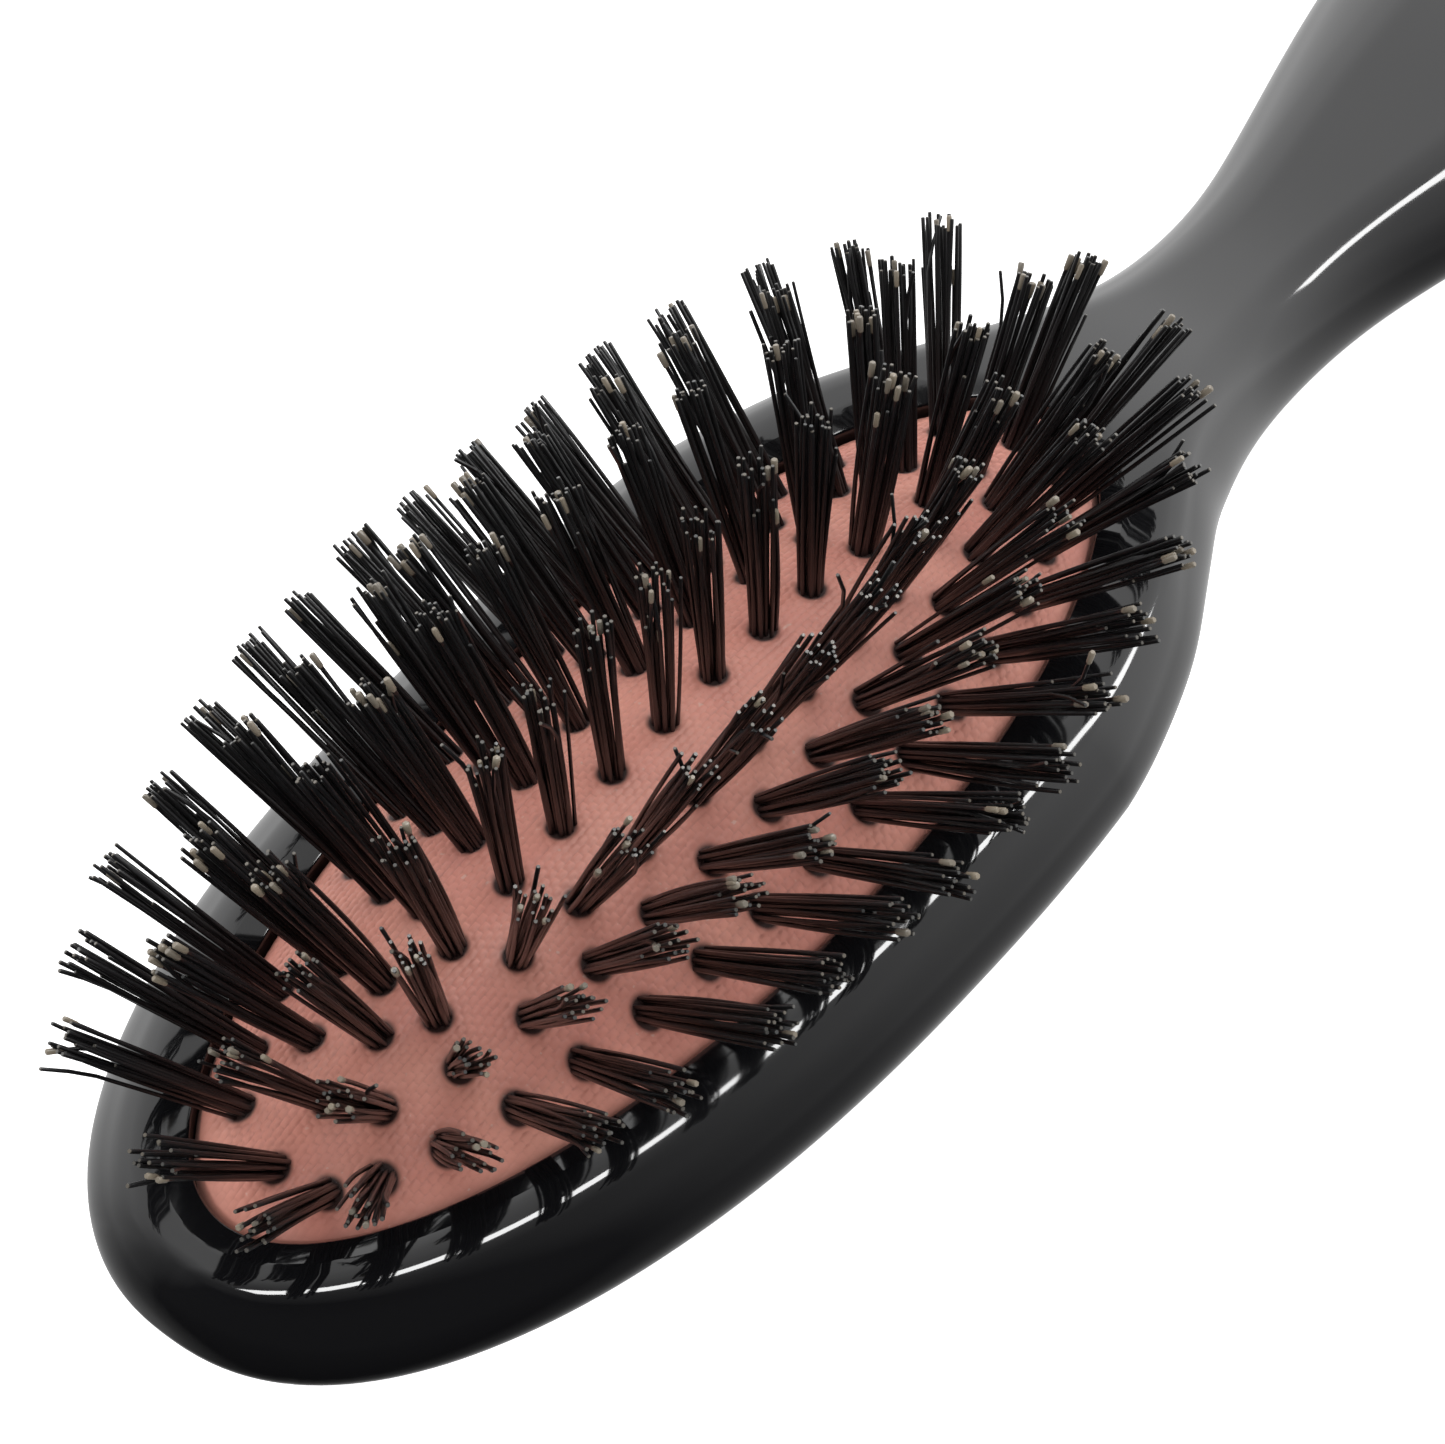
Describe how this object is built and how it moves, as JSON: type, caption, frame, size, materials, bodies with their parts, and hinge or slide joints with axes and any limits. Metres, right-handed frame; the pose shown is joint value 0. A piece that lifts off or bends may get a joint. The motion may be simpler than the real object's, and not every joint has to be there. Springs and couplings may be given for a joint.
{
  "type": "cushion hair brush",
  "caption": "Oval cushion hair brush: one-piece glossy black head and handle, a domed pink rubber cushion over cloth, and splayed dark bristle tufts that sink with the cushion and lean on wire anchors",
  "frame": {"origin": "the point on the resting plane under the centre of the oval cushion", "axes": "+X from the head to the end of the handle, +Y across the handle, +Z from the back to the bristle tips"},
  "size_m": [0.1988, 0.054, 0.038],
  "materials": {
    "black_plastic": "glossy black injection-moulded plastic with fine handling scratches",
    "cushion_rubber": "matt salmon-pink natural rubber with a fine woven imprint",
    "lining_cloth": "thin woven cotton bonded under the rubber",
    "bristle": "dyed brown-black bristle, semi-gloss, with paler worn tips",
    "anchor_wire": "drawn steel wire"
  },
  "bodies": {
    "handle": {"head_and_handle": "black_plastic", "cushion": "cushion_rubber", "cushion_lining": "lining_cloth"},
    "anchors_level_1": {"anchors_level_1": "anchor_wire"},
    "anchors_level_2": {"anchors_level_2": "anchor_wire"},
    "anchors_level_3": {"anchors_level_3": "anchor_wire"},
    "anchors_level_4": {"anchors_level_4": "anchor_wire"},
    "anchors_level_5": {"anchors_level_5": "anchor_wire"},
    "anchors_level_6": {"anchors_level_6": "anchor_wire"},
    "bristles_outer_left_1": {"bristles_outer_left_1": "bristle"},
    "bristles_outer_left_2": {"bristles_outer_left_2": "bristle"},
    "bristles_outer_left_3": {"bristles_outer_left_3": "bristle"},
    "bristles_outer_left_4": {"bristles_outer_left_4": "bristle"},
    "bristles_outer_left_5": {"bristles_outer_left_5": "bristle"},
    "bristles_outer_left_6": {"bristles_outer_left_6": "bristle"},
    "bristles_outer_left_7": {"bristles_outer_left_7": "bristle"},
    "bristles_outer_left_8": {"bristles_outer_left_8": "bristle"},
    "bristles_outer_right_1": {"bristles_outer_right_1": "bristle"},
    "bristles_outer_right_2": {"bristles_outer_right_2": "bristle"},
    "bristles_outer_right_3": {"bristles_outer_right_3": "bristle"},
    "bristles_outer_right_4": {"bristles_outer_right_4": "bristle"},
    "bristles_outer_right_5": {"bristles_outer_right_5": "bristle"},
    "bristles_outer_right_6": {"bristles_outer_right_6": "bristle"},
    "bristles_outer_right_7": {"bristles_outer_right_7": "bristle"},
    "bristles_outer_right_8": {"bristles_outer_right_8": "bristle"},
    "bristles_outer_right_9": {"bristles_outer_right_9": "bristle"},
    "bristles_outer_ends": {"bristles_outer_ends": "bristle"},
    "bristles_second_left_1": {"bristles_second_left_1": "bristle"},
    "bristles_second_left_2": {"bristles_second_left_2": "bristle"},
    "bristles_second_left_3": {"bristles_second_left_3": "bristle"},
    "bristles_second_left_4": {"bristles_second_left_4": "bristle"},
    "bristles_second_left_5": {"bristles_second_left_5": "bristle"},
    "bristles_second_left_6": {"bristles_second_left_6": "bristle"},
    "bristles_second_right_1": {"bristles_second_right_1": "bristle"},
    "bristles_second_right_2": {"bristles_second_right_2": "bristle"},
    "bristles_second_right_3": {"bristles_second_right_3": "bristle"},
    "bristles_second_right_4": {"bristles_second_right_4": "bristle"},
    "bristles_second_right_5": {"bristles_second_right_5": "bristle"},
    "bristles_second_right_6": {"bristles_second_right_6": "bristle"},
    "bristles_second_right_7": {"bristles_second_right_7": "bristle"},
    "bristles_second_ends": {"bristles_second_ends": "bristle"},
    "bristles_third_left_1": {"bristles_third_left_1": "bristle"},
    "bristles_third_left_2": {"bristles_third_left_2": "bristle"},
    "bristles_third_left_3": {"bristles_third_left_3": "bristle"},
    "bristles_third_left_4": {"bristles_third_left_4": "bristle"},
    "bristles_third_left_5": {"bristles_third_left_5": "bristle"},
    "bristles_third_right_1": {"bristles_third_right_1": "bristle"},
    "bristles_third_right_2": {"bristles_third_right_2": "bristle"},
    "bristles_third_right_3": {"bristles_third_right_3": "bristle"},
    "bristles_third_right_4": {"bristles_third_right_4": "bristle"},
    "bristles_third_right_5": {"bristles_third_right_5": "bristle"},
    "bristles_third_ends": {"bristles_third_ends": "bristle"},
    "bristles_centre_1": {"bristles_centre_1": "bristle"},
    "bristles_centre_2": {"bristles_centre_2": "bristle"},
    "bristles_centre_3": {"bristles_centre_3": "bristle"},
    "bristles_centre_4": {"bristles_centre_4": "bristle"},
    "bristles_centre_5": {"bristles_centre_5": "bristle"}
  },
  "joints": [
    {"name": "press_level_6", "type": "slide", "parent": "handle", "child": "anchors_level_6", "axis": [0, 0, -1], "range_m": [0, 0.00395], "stiffness_N_per_m": 400, "deforming": ["cushion", "cushion_lining"]},
    {"name": "press_level_5", "type": "slide", "parent": "handle", "child": "anchors_level_5", "axis": [0, 0, -1], "range_m": [0, 0.00346]},
    {"name": "press_level_4", "type": "slide", "parent": "handle", "child": "anchors_level_4", "axis": [0, 0, -1], "range_m": [0, 0.00281]},
    {"name": "press_level_3", "type": "slide", "parent": "handle", "child": "anchors_level_3", "axis": [0, 0, -1], "range_m": [0, 0.00217]},
    {"name": "press_level_2", "type": "slide", "parent": "handle", "child": "anchors_level_2", "axis": [0, 0, -1], "range_m": [0, 0.00154]},
    {"name": "press_level_1", "type": "slide", "parent": "handle", "child": "anchors_level_1", "axis": [0, 0, -1], "range_m": [0, 0.000893]},
    {"name": "rock_centre_1", "type": "hinge", "parent": "anchors_level_6", "child": "bristles_centre_1", "pos_m": [0, 0, 0.0192], "axis": [1, 0, 0], "range_deg": [-10, 10], "stiffness_Nm_per_rad": 0.004},
    {"name": "rock_outer_left_1", "type": "hinge", "parent": "anchors_level_2", "child": "bristles_outer_left_1", "pos_m": [0, 0.01081, 0.01532], "axis": [1, 0, 0], "range_deg": [-10, 10]},
    {"name": "rock_outer_left_2", "type": "hinge", "parent": "anchors_level_2", "child": "bristles_outer_left_2", "pos_m": [0, 0.01059, 0.01522], "axis": [1, 0, 0], "range_deg": [-10, 10]},
    {"name": "rock_outer_left_3", "type": "hinge", "parent": "anchors_level_2", "child": "bristles_outer_left_3", "pos_m": [0, 0.01016, 0.01502], "axis": [1, 0, 0], "range_deg": [-10, 10]},
    {"name": "rock_outer_left_4", "type": "hinge", "parent": "anchors_level_2", "child": "bristles_outer_left_4", "pos_m": [0, 0.00947, 0.01471], "axis": [1, 0, 0], "range_deg": [-10, 10]},
    {"name": "rock_outer_left_5", "type": "hinge", "parent": "anchors_level_2", "child": "bristles_outer_left_5", "pos_m": [0, 0.00851, 0.0143], "axis": [1, 0, 0], "range_deg": [-10, 10]},
    {"name": "rock_outer_left_6", "type": "hinge", "parent": "anchors_level_1", "child": "bristles_outer_left_6", "pos_m": [0, 0.00733, 0.01385], "axis": [1, 0, 0], "range_deg": [-10, 10]},
    {"name": "rock_outer_left_7", "type": "hinge", "parent": "anchors_level_1", "child": "bristles_outer_left_7", "pos_m": [0, 0.00585, 0.01338], "axis": [1, 0, 0], "range_deg": [-10, 10]},
    {"name": "rock_outer_left_8", "type": "hinge", "parent": "anchors_level_1", "child": "bristles_outer_left_8", "pos_m": [0, 0.00413, 0.01299], "axis": [1, 0, 0], "range_deg": [-10, 10]},
    {"name": "rock_outer_right_1", "type": "hinge", "parent": "anchors_level_2", "child": "bristles_outer_right_1", "pos_m": [0, -0.01083, 0.01533], "axis": [1, 0, 0], "range_deg": [-10, 10]},
    {"name": "rock_outer_right_2", "type": "hinge", "parent": "anchors_level_2", "child": "bristles_outer_right_2", "pos_m": [0, -0.01073, 0.01528], "axis": [1, 0, 0], "range_deg": [-10, 10]},
    {"name": "rock_outer_right_3", "type": "hinge", "parent": "anchors_level_2", "child": "bristles_outer_right_3", "pos_m": [0, -0.01039, 0.01513], "axis": [1, 0, 0], "range_deg": [-10, 10]},
    {"name": "rock_outer_right_4", "type": "hinge", "parent": "anchors_level_2", "child": "bristles_outer_right_4", "pos_m": [0, -0.00984, 0.01488], "axis": [1, 0, 0], "range_deg": [-10, 10]},
    {"name": "rock_outer_right_5", "type": "hinge", "parent": "anchors_level_2", "child": "bristles_outer_right_5", "pos_m": [0, -0.00902, 0.01452], "axis": [1, 0, 0], "range_deg": [-10, 10]},
    {"name": "rock_outer_right_6", "type": "hinge", "parent": "anchors_level_2", "child": "bristles_outer_right_6", "pos_m": [0, -0.00794, 0.01407], "axis": [1, 0, 0], "range_deg": [-10, 10]},
    {"name": "rock_outer_right_7", "type": "hinge", "parent": "anchors_level_1", "child": "bristles_outer_right_7", "pos_m": [0, -0.00652, 0.01357], "axis": [1, 0, 0], "range_deg": [-10, 10]},
    {"name": "rock_outer_right_8", "type": "hinge", "parent": "anchors_level_1", "child": "bristles_outer_right_8", "pos_m": [0, -0.00492, 0.01315], "axis": [1, 0, 0], "range_deg": [-10, 10]},
    {"name": "rock_outer_right_9", "type": "hinge", "parent": "anchors_level_1", "child": "bristles_outer_right_9", "pos_m": [0, -0.00317, 0.01286], "axis": [1, 0, 0], "range_deg": [-10, 10]},
    {"name": "rock_outer_ends", "type": "hinge", "parent": "anchors_level_1", "child": "bristles_outer_ends", "pos_m": [0, 0, 0.013], "axis": [1, 0, 0], "range_deg": [-10, 10]},
    {"name": "rock_second_left_1", "type": "hinge", "parent": "anchors_level_4", "child": "bristles_second_left_1", "pos_m": [0, 0.0072, 0.01747], "axis": [1, 0, 0], "range_deg": [-10, 10]},
    {"name": "rock_second_left_2", "type": "hinge", "parent": "anchors_level_4", "child": "bristles_second_left_2", "pos_m": [0, 0.007, 0.01729], "axis": [1, 0, 0], "range_deg": [-10, 10]},
    {"name": "rock_second_left_3", "type": "hinge", "parent": "anchors_level_4", "child": "bristles_second_left_3", "pos_m": [0, 0.00655, 0.01691], "axis": [1, 0, 0], "range_deg": [-10, 10]},
    {"name": "rock_second_left_4", "type": "hinge", "parent": "anchors_level_4", "child": "bristles_second_left_4", "pos_m": [0, 0.00582, 0.01633], "axis": [1, 0, 0], "range_deg": [-10, 10]},
    {"name": "rock_second_left_5", "type": "hinge", "parent": "anchors_level_3", "child": "bristles_second_left_5", "pos_m": [0, 0.00475, 0.01559], "axis": [1, 0, 0], "range_deg": [-10, 10]},
    {"name": "rock_second_left_6", "type": "hinge", "parent": "anchors_level_3", "child": "bristles_second_left_6", "pos_m": [0, 0.00319, 0.0148], "axis": [1, 0, 0], "range_deg": [-10, 10]},
    {"name": "rock_second_right_1", "type": "hinge", "parent": "anchors_level_4", "child": "bristles_second_right_1", "pos_m": [0, -0.00722, 0.01749], "axis": [1, 0, 0], "range_deg": [-10, 10]},
    {"name": "rock_second_right_2", "type": "hinge", "parent": "anchors_level_4", "child": "bristles_second_right_2", "pos_m": [0, -0.00712, 0.0174], "axis": [1, 0, 0], "range_deg": [-10, 10]},
    {"name": "rock_second_right_3", "type": "hinge", "parent": "anchors_level_4", "child": "bristles_second_right_3", "pos_m": [0, -0.00682, 0.01714], "axis": [1, 0, 0], "range_deg": [-10, 10]},
    {"name": "rock_second_right_4", "type": "hinge", "parent": "anchors_level_4", "child": "bristles_second_right_4", "pos_m": [0, -0.00632, 0.01672], "axis": [1, 0, 0], "range_deg": [-10, 10]},
    {"name": "rock_second_right_5", "type": "hinge", "parent": "anchors_level_3", "child": "bristles_second_right_5", "pos_m": [0, -0.00556, 0.01613], "axis": [1, 0, 0], "range_deg": [-10, 10]},
    {"name": "rock_second_right_6", "type": "hinge", "parent": "anchors_level_3", "child": "bristles_second_right_6", "pos_m": [0, -0.00442, 0.01539], "axis": [1, 0, 0], "range_deg": [-10, 10]},
    {"name": "rock_second_right_7", "type": "hinge", "parent": "anchors_level_2", "child": "bristles_second_right_7", "pos_m": [0, -0.00266, 0.01461], "axis": [1, 0, 0], "range_deg": [-10, 10]},
    {"name": "rock_second_ends", "type": "hinge", "parent": "anchors_level_2", "child": "bristles_second_ends", "pos_m": [0, 0, 0.01444], "axis": [1, 0, 0], "range_deg": [-10, 10]},
    {"name": "rock_third_left_1", "type": "hinge", "parent": "anchors_level_6", "child": "bristles_third_left_1", "pos_m": [0, 0.00401, 0.01864], "axis": [1, 0, 0], "range_deg": [-10, 10]},
    {"name": "rock_third_left_2", "type": "hinge", "parent": "anchors_level_5", "child": "bristles_third_left_2", "pos_m": [0, 0.00384, 0.01839], "axis": [1, 0, 0], "range_deg": [-10, 10]},
    {"name": "rock_third_left_3", "type": "hinge", "parent": "anchors_level_5", "child": "bristles_third_left_3", "pos_m": [0, 0.00349, 0.0179], "axis": [1, 0, 0], "range_deg": [-10, 10]},
    {"name": "rock_third_left_4", "type": "hinge", "parent": "anchors_level_4", "child": "bristles_third_left_4", "pos_m": [0, 0.0029, 0.01719], "axis": [1, 0, 0], "range_deg": [-10, 10]},
    {"name": "rock_third_left_5", "type": "hinge", "parent": "anchors_level_4", "child": "bristles_third_left_5", "pos_m": [0, 0.00184, 0.01626], "axis": [1, 0, 0], "range_deg": [-10, 10]},
    {"name": "rock_third_right_1", "type": "hinge", "parent": "anchors_level_6", "child": "bristles_third_right_1", "pos_m": [0, -0.00401, 0.01864], "axis": [1, 0, 0], "range_deg": [-10, 10]},
    {"name": "rock_third_right_2", "type": "hinge", "parent": "anchors_level_5", "child": "bristles_third_right_2", "pos_m": [0, -0.00386, 0.01841], "axis": [1, 0, 0], "range_deg": [-10, 10]},
    {"name": "rock_third_right_3", "type": "hinge", "parent": "anchors_level_5", "child": "bristles_third_right_3", "pos_m": [0, -0.00352, 0.01794], "axis": [1, 0, 0], "range_deg": [-10, 10]},
    {"name": "rock_third_right_4", "type": "hinge", "parent": "anchors_level_5", "child": "bristles_third_right_4", "pos_m": [0, -0.00299, 0.01728], "axis": [1, 0, 0], "range_deg": [-10, 10]},
    {"name": "rock_third_right_5", "type": "hinge", "parent": "anchors_level_4", "child": "bristles_third_right_5", "pos_m": [0, -0.00186, 0.01627], "axis": [1, 0, 0], "range_deg": [-10, 10]},
    {"name": "rock_third_ends", "type": "hinge", "parent": "anchors_level_3", "child": "bristles_third_ends", "pos_m": [0, 0, 0.01571], "axis": [1, 0, 0], "range_deg": [-10, 10]},
    {"name": "rock_centre_2", "type": "hinge", "parent": "anchors_level_6", "child": "bristles_centre_2", "pos_m": [0, 0, 0.01908], "axis": [1, 0, 0], "range_deg": [-10, 10]},
    {"name": "rock_centre_3", "type": "hinge", "parent": "anchors_level_6", "child": "bristles_centre_3", "pos_m": [0, 0, 0.01872], "axis": [1, 0, 0], "range_deg": [-10, 10]},
    {"name": "rock_centre_4", "type": "hinge", "parent": "anchors_level_5", "child": "bristles_centre_4", "pos_m": [0, 0, 0.01812], "axis": [1, 0, 0], "range_deg": [-10, 10]},
    {"name": "rock_centre_5", "type": "hinge", "parent": "anchors_level_5", "child": "bristles_centre_5", "pos_m": [0, 0, 0.01723], "axis": [1, 0, 0], "range_deg": [-10, 10]}
  ],
  "couplings": [
    {"joint": "press_level_5", "follows": "press_level_6", "ratio": 0.8764},
    {"joint": "press_level_4", "follows": "press_level_6", "ratio": 0.7116},
    {"joint": "press_level_3", "follows": "press_level_6", "ratio": 0.549},
    {"joint": "press_level_2", "follows": "press_level_6", "ratio": 0.3898},
    {"joint": "press_level_1", "follows": "press_level_6", "ratio": 0.2261},
    {"joint": "rock_outer_left_1", "follows": "rock_centre_1", "ratio": 1},
    {"joint": "rock_outer_left_2", "follows": "rock_centre_1", "ratio": 1},
    {"joint": "rock_outer_left_3", "follows": "rock_centre_1", "ratio": 1},
    {"joint": "rock_outer_left_4", "follows": "rock_centre_1", "ratio": 1},
    {"joint": "rock_outer_left_5", "follows": "rock_centre_1", "ratio": 1},
    {"joint": "rock_outer_left_6", "follows": "rock_centre_1", "ratio": 1},
    {"joint": "rock_outer_left_7", "follows": "rock_centre_1", "ratio": 1},
    {"joint": "rock_outer_left_8", "follows": "rock_centre_1", "ratio": 1},
    {"joint": "rock_outer_right_1", "follows": "rock_centre_1", "ratio": 1},
    {"joint": "rock_outer_right_2", "follows": "rock_centre_1", "ratio": 1},
    {"joint": "rock_outer_right_3", "follows": "rock_centre_1", "ratio": 1},
    {"joint": "rock_outer_right_4", "follows": "rock_centre_1", "ratio": 1},
    {"joint": "rock_outer_right_5", "follows": "rock_centre_1", "ratio": 1},
    {"joint": "rock_outer_right_6", "follows": "rock_centre_1", "ratio": 1},
    {"joint": "rock_outer_right_7", "follows": "rock_centre_1", "ratio": 1},
    {"joint": "rock_outer_right_8", "follows": "rock_centre_1", "ratio": 1},
    {"joint": "rock_outer_right_9", "follows": "rock_centre_1", "ratio": 1},
    {"joint": "rock_outer_ends", "follows": "rock_centre_1", "ratio": 1},
    {"joint": "rock_second_left_1", "follows": "rock_centre_1", "ratio": 1},
    {"joint": "rock_second_left_2", "follows": "rock_centre_1", "ratio": 1},
    {"joint": "rock_second_left_3", "follows": "rock_centre_1", "ratio": 1},
    {"joint": "rock_second_left_4", "follows": "rock_centre_1", "ratio": 1},
    {"joint": "rock_second_left_5", "follows": "rock_centre_1", "ratio": 1},
    {"joint": "rock_second_left_6", "follows": "rock_centre_1", "ratio": 1},
    {"joint": "rock_second_right_1", "follows": "rock_centre_1", "ratio": 1},
    {"joint": "rock_second_right_2", "follows": "rock_centre_1", "ratio": 1},
    {"joint": "rock_second_right_3", "follows": "rock_centre_1", "ratio": 1},
    {"joint": "rock_second_right_4", "follows": "rock_centre_1", "ratio": 1},
    {"joint": "rock_second_right_5", "follows": "rock_centre_1", "ratio": 1},
    {"joint": "rock_second_right_6", "follows": "rock_centre_1", "ratio": 1},
    {"joint": "rock_second_right_7", "follows": "rock_centre_1", "ratio": 1},
    {"joint": "rock_second_ends", "follows": "rock_centre_1", "ratio": 1},
    {"joint": "rock_third_left_1", "follows": "rock_centre_1", "ratio": 1},
    {"joint": "rock_third_left_2", "follows": "rock_centre_1", "ratio": 1},
    {"joint": "rock_third_left_3", "follows": "rock_centre_1", "ratio": 1},
    {"joint": "rock_third_left_4", "follows": "rock_centre_1", "ratio": 1},
    {"joint": "rock_third_left_5", "follows": "rock_centre_1", "ratio": 1},
    {"joint": "rock_third_right_1", "follows": "rock_centre_1", "ratio": 1},
    {"joint": "rock_third_right_2", "follows": "rock_centre_1", "ratio": 1},
    {"joint": "rock_third_right_3", "follows": "rock_centre_1", "ratio": 1},
    {"joint": "rock_third_right_4", "follows": "rock_centre_1", "ratio": 1},
    {"joint": "rock_third_right_5", "follows": "rock_centre_1", "ratio": 1},
    {"joint": "rock_third_ends", "follows": "rock_centre_1", "ratio": 1},
    {"joint": "rock_centre_2", "follows": "rock_centre_1", "ratio": 1},
    {"joint": "rock_centre_3", "follows": "rock_centre_1", "ratio": 1},
    {"joint": "rock_centre_4", "follows": "rock_centre_1", "ratio": 1},
    {"joint": "rock_centre_5", "follows": "rock_centre_1", "ratio": 1}
  ]
}
